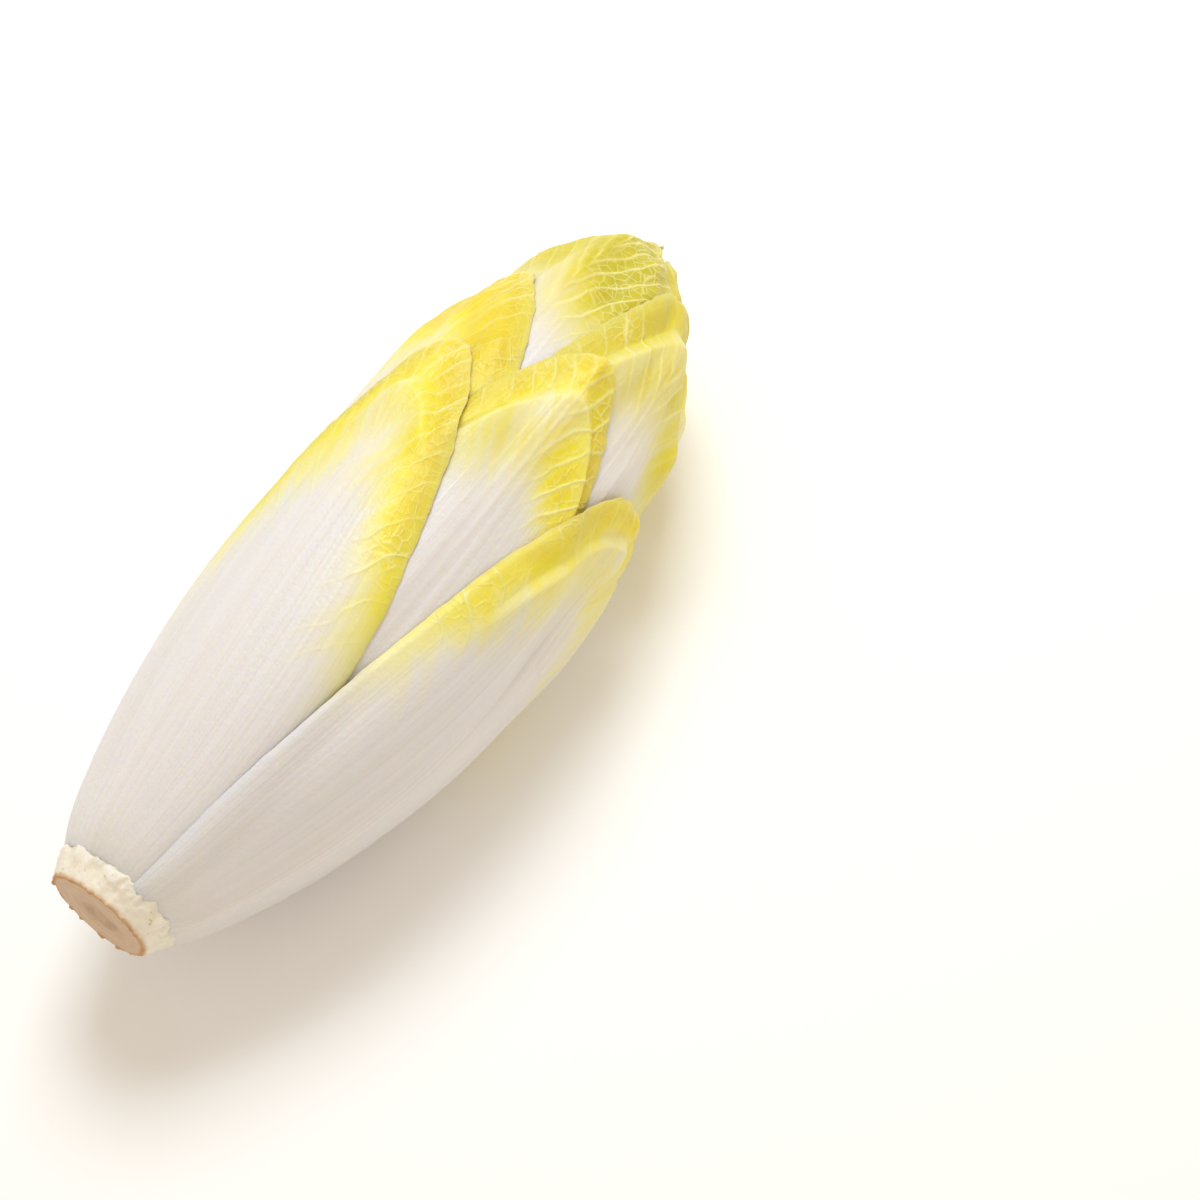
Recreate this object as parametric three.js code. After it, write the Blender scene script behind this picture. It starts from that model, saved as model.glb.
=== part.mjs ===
// A head of Belgian endive (witloof chicory) lying on its side, as a three.js scene graph.
//
// The head is a short stem, cut flat at its foot, and the leaves that grow from it in a tight spiral.
// Each leaf is a curved blade, thick at its rib and thin at its margin, that hugs the leaves inside it.
// The leaves are laid on one after another, from the heart outwards, so that none passes through
// its neighbour.
//
// Units are millimetres. +X runs along the head from the cut foot to the tip, +Z is up, and the
// origin is under the middle of the head, on the surface that it lies on.

import * as THREE from "three";

// The head's outline.
const HEAD_LENGTH = 160;
const BELLY_RADIUS = 28.4;
const NECK_RADIUS = 9.4;
const BELLY_AT = 0.5; // share of the length where the head is widest
const SHOULDER_POWER = 2.3; // how fast the head swells above its foot
const TAPER_POWER = 2.2; // how late the head starts to taper
const TIP_POWER = 0.66; // how blunt the tip is
const BOW = 1.8; // how far the head bends towards -Y below its middle, and back towards +Y above
const BOW_CROSSING = 0.66; // share of the length where the bend changes side
const TIP_BEND = 2.4; // how far the tip leans further towards +Y
const TIP_BEND_FROM = 0.8; // share of the length where that lean starts
const REST_PRESS = 2.0; // how far the head is pressed in where it rests
const REST_SPREAD = 45; // degrees to each side over which it is pressed in
const AXIS_HEIGHT = 26.0; // over the surface that the head lies on
const AXIS_SIDE = 1.1; // how far to +Y of the origin the straight axis runs, to centre the bowed head

// The leaves.
const LEAF_GAP = 0.62;
const FIRST_BASE = 4.2; // where the outermost leaf leaves the stem
const BASE_STEP = 0.8; // the next leaf inside it starts this much higher
const BASE_SPREAD = 1.36; // how the steps between the bases grow towards the heart
const TAPER_START = 16; // how far above its base a leaf starts to narrow
const MARGIN_THICKNESS = 0.55;
const BLADE_THICKNESS = 1.2;
const HEEL_THICKENING = 1.6; // of the outermost leaf, at its base
const HEEL_FADE = 24; // how quickly that thickening fades up the leaf
const HEEL_LIMIT = 26; // leaves that start higher than this have no thickened heel
const FOOT_RAMP = 3.5; // how quickly a leaf thickens from its foot
const RIB_THICKENING = 0.7;
const RIB_SHARE = 0.24; // the rib's width as a share of the half blade
const SHOULDER_WIDTH = 2.4; // how quickly a blade thickens in from its margin
const CORNER_SHARE = 0.5; // half-width at which a leaf's sides turn into its tip
const LIFT_SHARE = 0.22; // share of a leaf's length over which its tip bends out

// Outer leaves, the outermost first. azimuth is the rib's place round the head, in degrees from the
// top towards -Y. span is the half-width in degrees, and tip is how far up the head the leaf ends.
// A larger point keeps the blade wide for longer, a larger blunt rounds its end, and lift is how far
// the end bends out from the head. twist is how many degrees the end turns away from the rib's place.
// base is where a leaf leaves the stem, if that is lower than its place in the order would give.
const OUTER_LEAVES = [
  { azimuth: 83, tip: 111, span: 60, point: 1.3, blunt: 2.6, lift: 2.2 },
  { azimuth: -20, tip: 111, span: 60, point: 0.95, blunt: 2.15, lift: 0.8, twist: -6 },
  { azimuth: 180, tip: 117, span: 60, point: 1.5, blunt: 2.1, lift: 0.3 },
  { azimuth: 26, tip: 124, span: 62, point: 1.5, blunt: 1.8, lift: 0.5 },
  { azimuth: -112, tip: 116, span: 62, point: 1.5, blunt: 2.1, lift: 0.3, base: 5.3 },
  { azimuth: 138, tip: 129, span: 62, point: 1.6, blunt: 2.1, lift: 0.8 },
  { azimuth: -40, tip: 134, span: 62, point: 3.3, blunt: 1.6, lift: 0.4 },
  { azimuth: -150, tip: 139, span: 64, point: 1.8, blunt: 2.2, lift: 0.8 },
  { azimuth: 57, tip: 149, span: 63, point: 3.0, blunt: 2.1, lift: 0.6 },
  { azimuth: 112, tip: 145, span: 66, point: 2.0, blunt: 2.3, lift: 0.3 },
  { azimuth: -114, tip: 150, span: 70, point: 2.4, blunt: 2.4, lift: 0.5 },
  { azimuth: -12, tip: 160, span: 86, point: 4.0, blunt: 3.0, lift: 0.0 },
  { azimuth: 158, tip: 158, span: 80, point: 3.2, blunt: 2.8, lift: 0.0 },
  { azimuth: 62, tip: 157, span: 80, point: 3.2, blunt: 2.8, lift: 0.0 },
];

// Inner leaves follow the spiral at the golden angle and get a little shorter towards the heart.
const INNER_LEAVES = 8;
const GOLDEN_ANGLE = 137.5;
const INNER_FIRST_TIP = 155.5;
const INNER_TIP_STEP = 0.7;
const INNER_SHAPE = { span: 72, point: 3.5, blunt: 3.0, lift: 0, twist: 0 };

// The stem and the bud at the heart.
const COLLAR_RADIUS = 11.3;
const COLLAR_TOP = 3.6;
const STEM_TOP = 54;
const STEM_CLEARANCE = 0.5;
const CORE_STEP = 5;
const CORE_ROUNDING = 4; // how late the core rounds off towards its top
const CORE_SAMPLES = 9; // places round the head where its room is measured
const BUD_TIP = 157.5;
const BUD_ROUNDING = 12; // how late the bud rounds off towards its ends

// How finely the pieces are faceted, and the grid on which the leaves are stacked.
const OUTER_FACETS = { along: 14, across: 8 };
const INNER_FACETS = { along: 14, across: 6 };
const ROW_CROWDING = 0.4; // how much closer the rows of facets lie at a leaf's two ends
const ROUND_FACETS = 20;
const STACK_ROWS = 81;
const STACK_COLUMNS = 96;
const ROW_STEP = HEAD_LENGTH / (STACK_ROWS - 1);
const COLUMN_STEP = 360 / STACK_COLUMNS;
const DRAPE_ROWS = 1; // how far a leaf bridges an edge under it, in grid cells
const DRAPE_COLUMNS = 2;
const EVEN_ROWS = 3; // how widely the stack's height is evened out, in grid cells
const EVEN_COLUMNS = 7;
const LEAST_RADIUS = 0.6; // of what is left inside the leaves
const ON_AXIS = 1e-6;

const COLOURS = {
  leaf: 0xf3efe2,
  leafYellow: 0xf0dc52,
  stem: 0xe6d3b4,
};

const { clamp, lerp, mapLinear, smoothstep, euclideanModulo, degToRad, radToDeg } = THREE.MathUtils;

// Radius of the head's outline at s, the distance from the cut foot.
function outlineRadius(s) {
  const x = clamp(s / HEAD_LENGTH, 0, 1);
  if (x < BELLY_AT) {
    const swell = 1 - (1 - x / BELLY_AT) ** SHOULDER_POWER;
    return NECK_RADIUS + (BELLY_RADIUS - NECK_RADIUS) * swell;
  }
  const past = (x - BELLY_AT) / (1 - BELLY_AT);
  return BELLY_RADIUS * (1 - past ** TAPER_POWER) ** TIP_POWER;
}

// The same, pressed in on the side that the head lies on.
function restingRadius(s, azimuth) {
  const fromBottom = Math.min(Math.abs(fromRib(azimuth, 180)), REST_SPREAD);
  const press = (REST_PRESS / 2) * (1 + Math.cos((Math.PI * fromBottom) / REST_SPREAD));
  return outlineRadius(s) - press;
}

function allLeaves() {
  const number = (i) => String(i + 1).padStart(2, "0");
  const leaves = OUTER_LEAVES.map((leaf, i) => {
    return { twist: 0, ...leaf, name: "outer_leaf_" + number(i), facets: OUTER_FACETS };
  });
  for (let i = 0; i < INNER_LEAVES; i++) {
    const azimuth = leaves.at(-1).azimuth + GOLDEN_ANGLE;
    const tip = INNER_FIRST_TIP - i * INNER_TIP_STEP;
    const name = "inner_leaf_" + number(i);
    leaves.push({ ...INNER_SHAPE, azimuth, tip, name, facets: INNER_FACETS });
  }
  leaves.forEach((leaf, i) => {
    leaf.base ??= FIRST_BASE + BASE_STEP * i ** BASE_SPREAD;
    leaf.heel = HEEL_THICKENING * Math.max(1 - leaf.base / HEEL_LIMIT, 0);
  });
  return leaves;
}

// A leaf's half-width at s, in degrees.
function halfWidth(leaf, s) {
  const start = leaf.base + TAPER_START;
  const t = clamp((s - start) / (leaf.tip - start), 0, 1);
  return leaf.span * (1 - t ** leaf.point) ** (1 / leaf.blunt);
}

// Where the line at share v of the blade meets the leaf's end.
function endOfLine(leaf, v) {
  const start = leaf.base + TAPER_START;
  const t = (1 - (Math.abs(v) * CORNER_SHARE) ** leaf.blunt) ** (1 / leaf.point);
  return start + (leaf.tip - start) * t;
}

// The rib's azimuth at s. Where a leaf has a twist, its end turns to the side.
function ribAzimuth(leaf, s) {
  return leaf.azimuth + leaf.twist * smoothstep(s, leaf.base + TAPER_START, leaf.tip);
}

// How far a leaf's tip bends out from what is under it.
function tipLift(leaf, s) {
  const start = lerp(leaf.tip, leaf.base, LIFT_SHARE);
  return leaf.lift * clamp((s - start) / (leaf.tip - start), 0, 1) ** 2;
}

// How thick a leaf is at s and at an angle from its rib, both faces together.
function leafThickness(leaf, s, angle) {
  const width = halfWidth(leaf, s);
  const slope = (halfWidth(leaf, s + 0.5) - halfWidth(leaf, s - 0.5)) * degToRad(1);
  const radius = Math.max(outlineRadius(s), 1);
  const inside = Math.max(width - Math.abs(angle), 0) * degToRad(1);
  const fromMargin = inside / Math.hypot(slope, 1 / radius);
  const fromFoot = Math.max(s - leaf.base, 0);
  const rise = (1 - Math.exp(-fromMargin / SHOULDER_WIDTH)) * (1 - Math.exp(-fromFoot / FOOT_RAMP));
  const share = Math.min(Math.abs(angle) / Math.max(width, 1), 1);
  const rib = RIB_THICKENING * Math.exp(-((share / RIB_SHARE) ** 2));
  const heel = leaf.heel * Math.exp(-fromFoot / HEEL_FADE);
  return MARGIN_THICKNESS + (BLADE_THICKNESS - MARGIN_THICKNESS + rib + heel) * rise;
}

// The stack is a grid of heights over the head: a row for each s, and a column for each azimuth.
class Stack {
  constructor(heights = new Float64Array(STACK_ROWS * STACK_COLUMNS)) {
    this.heights = heights;
  }

  at(row, column) {
    const r = clamp(row, 0, STACK_ROWS - 1);
    return this.heights[r * STACK_COLUMNS + euclideanModulo(column, STACK_COLUMNS)];
  }

  map(make) {
    const heights = new Float64Array(this.heights.length);
    for (let row = 0; row < STACK_ROWS; row++)
      for (let column = 0; column < STACK_COLUMNS; column++)
        heights[row * STACK_COLUMNS + column] = make(row, column);
    return new Stack(heights);
  }

  highest(rows, columns) {
    const lines = this.map((r, c) => Math.max(...span(rows).map((d) => this.at(r + d, c))));
    return lines.map((r, c) => Math.max(...span(columns).map((d) => lines.at(r, c + d))));
  }

  blurred(rows, columns) {
    const lines = this.map((r, c) => average(span(rows).map((d) => this.at(r + d, c))));
    return lines.map((r, c) => average(span(columns).map((d) => lines.at(r, c + d))));
  }

  sample(s, azimuth) {
    const row = clamp(s / ROW_STEP, 0, STACK_ROWS - 1.001);
    const column = azimuth / COLUMN_STEP;
    const [r, c] = [Math.floor(row), Math.floor(column)];
    const near = lerp(this.at(r, c), this.at(r, c + 1), column - c);
    const far = lerp(this.at(r + 1, c), this.at(r + 1, c + 1), column - c);
    return lerp(near, far, row - r);
  }
}

const span = (reach) => Array.from({ length: 2 * reach + 1 }, (_, i) => i - reach);
const average = (values) => values.reduce((sum, value) => sum + value, 0) / values.length;
const fromRib = (azimuth, rib) => euclideanModulo(azimuth - rib + 180, 360) - 180;

// Lays the leaves on, from the heart outwards. Each one's underside clears what is inside it.
function stackLeaves(leaves) {
  let stack = new Stack();
  for (const leaf of [...leaves].reverse()) {
    const under = stack
      .highest(DRAPE_ROWS, DRAPE_COLUMNS)
      .blurred(DRAPE_ROWS, DRAPE_COLUMNS);
    leaf.underside = under.map((r, c) => under.at(r, c) + LEAF_GAP);
    const before = stack;
    stack = before.map((r, c) => {
      const s = r * ROW_STEP;
      const angle = fromRib(c * COLUMN_STEP, ribAzimuth(leaf, s));
      const within = s > leaf.base - ROW_STEP && s < leaf.tip + ROW_STEP;
      if (!within || Math.abs(angle) > halfWidth(leaf, s) + COLUMN_STEP) return before.at(r, c);
      return leaf.underside.at(r, c) + tipLift(leaf, s) + leafThickness(leaf, s, angle);
    });
  }
  return stack.blurred(EVEN_ROWS, EVEN_COLUMNS).blurred(EVEN_ROWS, EVEN_COLUMNS);
}

// A point of the head from its distance along the axis, its azimuth and its radius. What would
// reach under the surface is pressed flat against it.
function place(s, azimuth, radius) {
  const angle = degToRad(azimuth);
  const bow = BOW * Math.sin((Math.PI * s) / (BOW_CROSSING * HEAD_LENGTH));
  const lean = TIP_BEND * smoothstep(s / HEAD_LENGTH, TIP_BEND_FROM, 1);
  const height = radius * Math.cos(angle) + AXIS_HEIGHT;
  const side = AXIS_SIDE - bow + lean - radius * Math.sin(angle);
  return new THREE.Vector3(s - HEAD_LENGTH / 2, side, Math.max(height, 0));
}

function moveVertices(geometry, move) {
  const position = geometry.getAttribute("position");
  const point = new THREE.Vector3();
  for (let i = 0; i < position.count; i++) {
    const moved = move(point.fromBufferAttribute(position, i));
    position.setXYZ(i, moved.x, moved.y, moved.z);
  }
  geometry.computeVertexNormals();
  return geometry;
}

const leaves = allLeaves();
const evened = stackLeaves(leaves); // the stack's evened height, which sets where the heart starts

function heartRadius(s, azimuth) {
  return Math.max(restingRadius(s, azimuth) - evened.sample(s, azimuth), LEAST_RADIUS);
}

// A leaf is a flat box bent into place: x is its share of the half blade, y runs from base to tip,
// and z tells the inner face from the outer one.
function leafGeometry(leaf) {
  const flat = new THREE.BoxGeometry(2, 1, 1, leaf.facets.across, leaf.facets.along, 1);
  return moveVertices(flat, ({ x: v, y, z }) => {
    const u = y + 0.5 - (ROW_CROWDING * Math.sin(2 * Math.PI * (y + 0.5))) / (2 * Math.PI);
    const s = lerp(leaf.base, endOfLine(leaf, v), u);
    const side = lerp(leaf.base, endOfLine(leaf, 1), u);
    const angle = v * halfWidth(leaf, side);
    const azimuth = ribAzimuth(leaf, s) + angle;
    const inner = heartRadius(s, azimuth) + leaf.underside.sample(s, azimuth) + tipLift(leaf, s);
    return place(s, azimuth, z > 0 ? inner + leafThickness(leaf, s, angle) : inner);
  });
}

// The stem: a cut foot, a collar where the first leaves were trimmed, and a core inside the head.
function stemGeometry() {
  const turns = Array.from({ length: CORE_SAMPLES }, (_, i) => (i * 360) / CORE_SAMPLES);
  const core = (s) => Math.min(...turns.map((turn) => heartRadius(s, turn))) - STEM_CLEARANCE;
  const profile = [
    new THREE.Vector2(0, 0),
    new THREE.Vector2(NECK_RADIUS, 0),
    new THREE.Vector2(COLLAR_RADIUS, COLLAR_TOP),
  ];
  for (let s = COLLAR_TOP + STEM_CLEARANCE; s < STEM_TOP; s += CORE_STEP)
    profile.push(new THREE.Vector2(core(s) * Math.sqrt(1 - (s / STEM_TOP) ** CORE_ROUNDING), s));
  profile.push(new THREE.Vector2(0, STEM_TOP));
  const lathe = new THREE.LatheGeometry(profile, ROUND_FACETS);
  return moveVertices(lathe, ({ x, y: s, z }) => {
    const azimuth = radToDeg(Math.atan2(x, z));
    return place(s, azimuth, Math.hypot(x, z));
  });
}

// The bud: the closed heart of the head, above the stem.
function budGeometry() {
  const foot = STEM_TOP + STEM_CLEARANCE;
  const ball = new THREE.SphereGeometry(1, ROUND_FACETS, ROUND_FACETS);
  return moveVertices(ball, ({ x, y, z }) => {
    const s = mapLinear(y, -1, 1, foot, BUD_TIP);
    const azimuth = radToDeg(Math.atan2(x, z));
    const roundness = Math.sqrt(Math.max(1 - Math.abs(y) ** BUD_ROUNDING, 0));
    const radius = (heartRadius(s, azimuth) - STEM_CLEARANCE) * roundness;
    return place(s, azimuth, Math.hypot(x, z) < ON_AXIS ? 0 : radius);
  });
}

function part(name, geometry, color, roughness) {
  const material = new THREE.MeshStandardMaterial({ color, roughness, metalness: 0 });
  const mesh = new THREE.Mesh(geometry, material);
  mesh.name = name;
  return mesh;
}

const head = new THREE.Group();
head.name = "endive_head";
head.add(part("stem", stemGeometry(), COLOURS.stem, 0.8));
head.add(part("heart_bud", budGeometry(), COLOURS.leafYellow, 0.5));
for (const leaf of leaves) head.add(part(leaf.name, leafGeometry(leaf), COLOURS.leaf, 0.45));

export default head;
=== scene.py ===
"""A head of Belgian endive lying on its side, on a pale floor.

The head is worked out in millimetres on a grid of distance along the head and azimuth round it, and
turned into metres as each piece is made. Distance s runs from 0 at the cut foot to the head's length
at its tip. Azimuth is in degrees from the top towards -Y.

The leaves are laid on one after another from the heart outwards, and each clears the ones inside it.
A Geometry Nodes tree then raises the veins and fine ribs of each leaf.
"""

import math
from dataclasses import dataclass

import bpy
import numpy as np
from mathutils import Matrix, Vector


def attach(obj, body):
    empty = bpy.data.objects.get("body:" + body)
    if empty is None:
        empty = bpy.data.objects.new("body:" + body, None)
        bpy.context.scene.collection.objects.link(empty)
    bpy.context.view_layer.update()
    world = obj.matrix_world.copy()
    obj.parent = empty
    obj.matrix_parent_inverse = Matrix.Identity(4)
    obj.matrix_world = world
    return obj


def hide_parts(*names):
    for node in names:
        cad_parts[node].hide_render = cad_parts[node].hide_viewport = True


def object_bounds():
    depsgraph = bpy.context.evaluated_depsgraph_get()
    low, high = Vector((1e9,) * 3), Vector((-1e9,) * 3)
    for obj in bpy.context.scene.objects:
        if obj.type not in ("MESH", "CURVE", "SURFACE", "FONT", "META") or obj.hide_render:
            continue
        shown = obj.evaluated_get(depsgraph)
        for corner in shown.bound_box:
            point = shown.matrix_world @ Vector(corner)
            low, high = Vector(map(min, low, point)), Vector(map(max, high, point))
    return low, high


bl_info = {
    "name": "Endive Head",
    "version": (1, 0, 0),
    "blender": (4, 5, 0),
    "location": "3D View > Sidebar > Endive",
    "description": "Builds a head of endive leaf by leaf, with its stem and a stage",
    "category": "Add Mesh",
}

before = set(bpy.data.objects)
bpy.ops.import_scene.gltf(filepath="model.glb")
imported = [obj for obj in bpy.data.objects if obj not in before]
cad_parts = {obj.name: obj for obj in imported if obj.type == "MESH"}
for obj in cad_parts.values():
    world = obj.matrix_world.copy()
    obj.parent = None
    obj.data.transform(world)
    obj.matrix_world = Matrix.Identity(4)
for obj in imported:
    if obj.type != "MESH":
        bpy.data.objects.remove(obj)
CAD_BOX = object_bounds()

MM = 0.001
HEAD_LENGTH = (CAD_BOX[1][0] - CAD_BOX[0][0]) / MM
FOOT_X = CAD_BOX[0][0] / MM

# The grid on which the leaves are stacked.
GRID_ROWS = 241
GRID_COLUMNS = 288
ROW_STEP = HEAD_LENGTH / (GRID_ROWS - 1)
COLUMN_STEP = 360 / GRID_COLUMNS

LEAST_RADIUS = 0.6
CORNER_SHARE = 0.5  # half-width at which a leaf's sides turn into its tip
LIFT_SHARE = 0.22  # share of a leaf's length over which its tip bends out
FOLD_STEP = 2.0  # how far out from a fold's crest its outer side reaches
FOLD_SLOPE = 7.0  # how far in from a fold's crest it fades
FOLD_ROUND = 13.0  # degrees to each side of the rib over which a fold arches
VALLEY = 5.5  # how far in from the crest the leaf is yellowest, partly its own deeper yellow and partly painted shade in the valley of the fold, in mm
VALLEY_WIDTH = 3.5
CREST_HIGHLIGHT_WIDTH = 1.8  # of the painted highlight along the crest, in mm
FOLD_SKEW = 0.35  # how much closer to the margin a fold runs on the -Y side
FOLD_TURN = 20  # degrees from the rib at which that is so in full
VALLEY_YELLOW_AND_SHADE = 0.13  # how much yellower a leaf is in that valley, partly its own colour and partly painted shade, as a share of its yellow
VALLEY_BASE = 0.06  # and what is added to that, also partly painted shade
CREST_HIGHLIGHT = 0.8  # how much paler the painted highlight makes the crest, as a share of the valley's effect
LEAF_ROWS, LEAF_COLUMNS = 330, 200  # faces on the outside of a leaf's mesh, where its detail is 1
TIP_CROWDING = 0.35  # how much closer its rows lie towards the tip
MARGIN_CROWDING = 0.12  # how much closer its columns lie towards the margins
MARGIN_PRESS = 1.5  # how far a margin is pressed down, as a share of the gap between leaves
FOOT_PRESS = 3.0  # added to that at the foot, where the leaves have grown together
UNDERSIDE_RELIEF = 0.3  # how high the relief is on a leaf's inner side, as a share
VEIN_SEED = 3.0
FIRST_SEED, SEED_STEP = 11, 7
LEAF_OFFSET = 97  # between the patterns of two seeds, along a leaf, in mm
GOLDEN_ANGLE = 137.5


@dataclass
class Leaf:
    """One leaf. Angles are in degrees and lengths in millimetres."""

    node: str  # the CAD node that it stands for
    azimuth: float  # of its rib
    tip: float  # how far up the head it ends
    span: float  # half-width
    point: float  # larger keeps the blade wide for longer
    blunt: float  # larger rounds the end
    lift: float = 0.0  # how far the end bends out
    twist: float = 0.0  # how far the end turns to the side
    crest: float = 0.8  # height of the fold that runs inside the margin
    inset: float = 6.0  # how far inside the margin the fold runs
    fold: float = 32.0  # how far down from the tip the fold reaches
    rim: float = 12.0  # width of the yellow along the margin
    rim_from: float = 60.0  # where the yellow starts, up the head
    flush: float = 0.0  # how yellow the whole end is
    lean: float = 0.0  # how much the yellow of the end keeps to the -Y side
    bare: float = 0.0  # how white the margin on the -Y side is
    green: float = 0.0  # how green the yellow is
    detail: float = 1.0  # how finely its mesh is divided
    base: float = 0.0  # where it leaves the stem; 0 for its place in the order
    heel: float = 0.0
    seed: int = 0


OUTER_LEAVES = (
    Leaf("outer_leaf_01", 83, 111, 60, 1.3, 2.6, 2.2, 0, 1.4, 6.0, 44, 14, rim_from=52, bare=0.85),
    Leaf("outer_leaf_02", -20, 111, 60, 0.95, 2.15, 0.8, -6, 2.2, 6.5, 26, 15, rim_from=46, flush=0.2),
    Leaf("outer_leaf_03", 180, 117, 60, 1.5, 2.1, 0.3, rim_from=55, detail=0.6),
    Leaf("outer_leaf_04", 26, 124, 62, 1.5, 1.8, 0.5, 0, 2.8, 5.0, 40, 15, rim_from=66, flush=0.1),
    Leaf("outer_leaf_05", -112, 116, 62, 1.5, 2.1, 0.3, crest=1.4, rim_from=55, detail=0.75, base=5.3),
    Leaf("outer_leaf_06", 138, 129, 62, 1.6, 2.1, 0.8, crest=1.6, rim_from=60, detail=0.75),
    Leaf("outer_leaf_07", -40, 134, 62, 3.3, 1.6, 0.4, crest=0.4, rim=22, rim_from=80, flush=0.55),
    Leaf("outer_leaf_08", -150, 139, 64, 1.8, 2.2, 0.8, crest=1.4, rim=14, rim_from=70, detail=0.7),
    Leaf("outer_leaf_09", 57, 149, 63, 3.0, 2.1, 0.6, 0, 2.8, 6.5, 40, 13, rim_from=92, flush=0.2, green=0.6),
    Leaf("outer_leaf_10", 112, 145, 66, 2.0, 2.3, 0.3, crest=1.0, rim_from=88, detail=0.75),
    Leaf("outer_leaf_11", -114, 150, 70, 2.4, 2.4, 0.5, rim=14, rim_from=88, flush=0.3, detail=0.75),
    Leaf("outer_leaf_12", -12, 160, 86, 4.0, 3.0, rim=17, rim_from=102, flush=1.8, lean=0.85, green=1.0),
    Leaf("outer_leaf_13", 158, 158, 80, 3.2, 2.8, rim=15, rim_from=102, flush=0.5, green=0.5, detail=0.7),
    Leaf("outer_leaf_14", 62, 157, 80, 3.2, 2.8, rim=15, rim_from=102, flush=0.7, green=0.7, detail=0.7),
)
INNER_LEAVES = 8


def number(name, description, default, **more):
    return bpy.props.FloatProperty(name=name, description=description, default=default, **more)


def fine_length(name, description, default):
    return number(name, description, default, unit="LENGTH", precision=5)


def tint(name, description, default):
    return bpy.props.FloatVectorProperty(
        name=name, description=description, default=default, size=3, subtype="COLOR"
    )


class HeadSettings(bpy.types.PropertyGroup):
    """The head's outline and how its leaves are built. Lengths are in millimetres."""

    belly_radius: number("Belly radius", "Radius where the head is widest", 28.4)
    neck_radius: number("Neck radius", "Radius at the cut foot", 9.4)
    belly_at: number("Belly at", "Share of the length where it is widest", 0.5, subtype="FACTOR")
    bow: number("Bow", "How far the head bends to the side", 1.8)
    gap: number("Leaf gap", "Clearance between two leaves", 0.2)
    margin_thickness: number("Margin thickness", "Of a leaf at its margin", 0.3)
    blade_thickness: number("Blade thickness", "Of a leaf inside its margin", 1.25)
    rib_thickness: number("Rib thickening", "Added along the midrib", 0.8)
    heel_thickness: number("Heel thickening", "Added at the base of a leaf", 1.6)


class FinishSettings(bpy.types.PropertyGroup):
    """Colours and relief of the leaves and the stem."""

    white: tint("White", "Blanched part of a leaf", (0.83, 0.80, 0.80))
    yellow: tint("Yellow", "Margin and tip of a leaf", (0.94, 0.79, 0.04))
    vein: tint("Vein", "Raised veins in the yellow", (0.95, 0.88, 0.38))
    cut: tint("Cut face", "Dried cut face of the stem", (0.62, 0.42, 0.26))
    vein_height: fine_length("Vein height", "Of the side veins", 0.00014)
    vein_spacing: fine_length("Vein spacing", "Between two side veins, along the leaf", 0.0085)
    net_height: fine_length("Net height", "Of the net of small veins", 0.00012)
    net_cell: fine_length("Net cell", "Size of a mesh of the net", 0.0020)
    rib_height: fine_length("Fine rib height", "Of the fine ribs along a leaf", 0.00016)
    rib_count: number("Fine rib count", "Waves of the fine ribs from the rib to a margin", 26.0)
    midrib_height: fine_length("Midrib height", "Of the strands that make the midrib", 0.00022)
    swell_height: fine_length("Swell height", "Of the broad waves in a blade", 0.0010)


class StageSettings(bpy.types.PropertyGroup):
    """The camera and the light."""

    lens: number("Lens", "Focal length of the camera", 100, unit="CAMERA")
    distance: number("Distance", "From the camera to what it looks at", 0.5976, unit="LENGTH")
    elevation: number(
        "Elevation", "Of the camera over the horizon", math.radians(61.4), subtype="ANGLE"
    )
    heading: number(
        "Heading", "Which way the camera looks, from +Y towards +X", math.radians(53.1), subtype="ANGLE"
    )
    key: number("Key light", "Power of the large soft light", 5.5, unit="POWER")
    sky: number("Surround", "Brightness of the white surround", 0.70)


# Shape of the head, in millimetres


def smooth(low, high, value):
    """0 below low, 1 above high, and a smooth rise between."""
    t = np.clip((value - low) / (high - low), 0, 1)
    return t * t * (3 - 2 * t)


def ripple(x, y, seed, waves=7):
    """Smooth noise between about -1 and 1, from a few seeded waves, one unit long."""
    random = np.random.default_rng(seed)
    total = 0
    for _ in range(waves):
        heading = random.uniform(0, 2 * math.pi)
        pitch = random.uniform(0.6, 1.6) * 2 * math.pi
        phase = random.uniform(0, 2 * math.pi)
        total = total + np.sin(pitch * (x * math.cos(heading) + y * math.sin(heading)) + phase)
    return total / math.sqrt(waves)


class Stack:
    """Heights over the heart, on a grid of distance along the head and azimuth round it."""

    def __init__(self, heights=None):
        self.heights = np.zeros((GRID_ROWS, GRID_COLUMNS)) if heights is None else heights

    def shifted(self, rows, columns):
        rows_at = np.clip(np.arange(GRID_ROWS) + rows, 0, GRID_ROWS - 1)
        return np.roll(self.heights[rows_at], -columns, axis=1)

    def combined(self, join, rows, columns):
        lines = Stack(join([self.shifted(d, 0) for d in range(-rows, rows + 1)]))
        return Stack(join([lines.shifted(0, d) for d in range(-columns, columns + 1)]))

    def highest(self, rows, columns):
        return self.combined(lambda layers: np.max(layers, axis=0), rows, columns)

    def blurred(self, rows, columns):
        return self.combined(lambda layers: np.mean(layers, axis=0), rows, columns)

    def sample(self, s, azimuth):
        row = np.clip(s / ROW_STEP, 0, GRID_ROWS - 1.001)
        column = (np.asarray(azimuth) % 360) / COLUMN_STEP
        r = np.floor(row).astype(int)
        c = np.floor(column).astype(int)
        after = (c + 1) % GRID_COLUMNS
        c = c % GRID_COLUMNS
        down, across = row - r, column - np.floor(column)
        near = self.heights[r, c] * (1 - across) + self.heights[r, after] * across
        far = self.heights[r + 1, c] * (1 - across) + self.heights[r + 1, after] * across
        return near * (1 - down) + far * down


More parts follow.
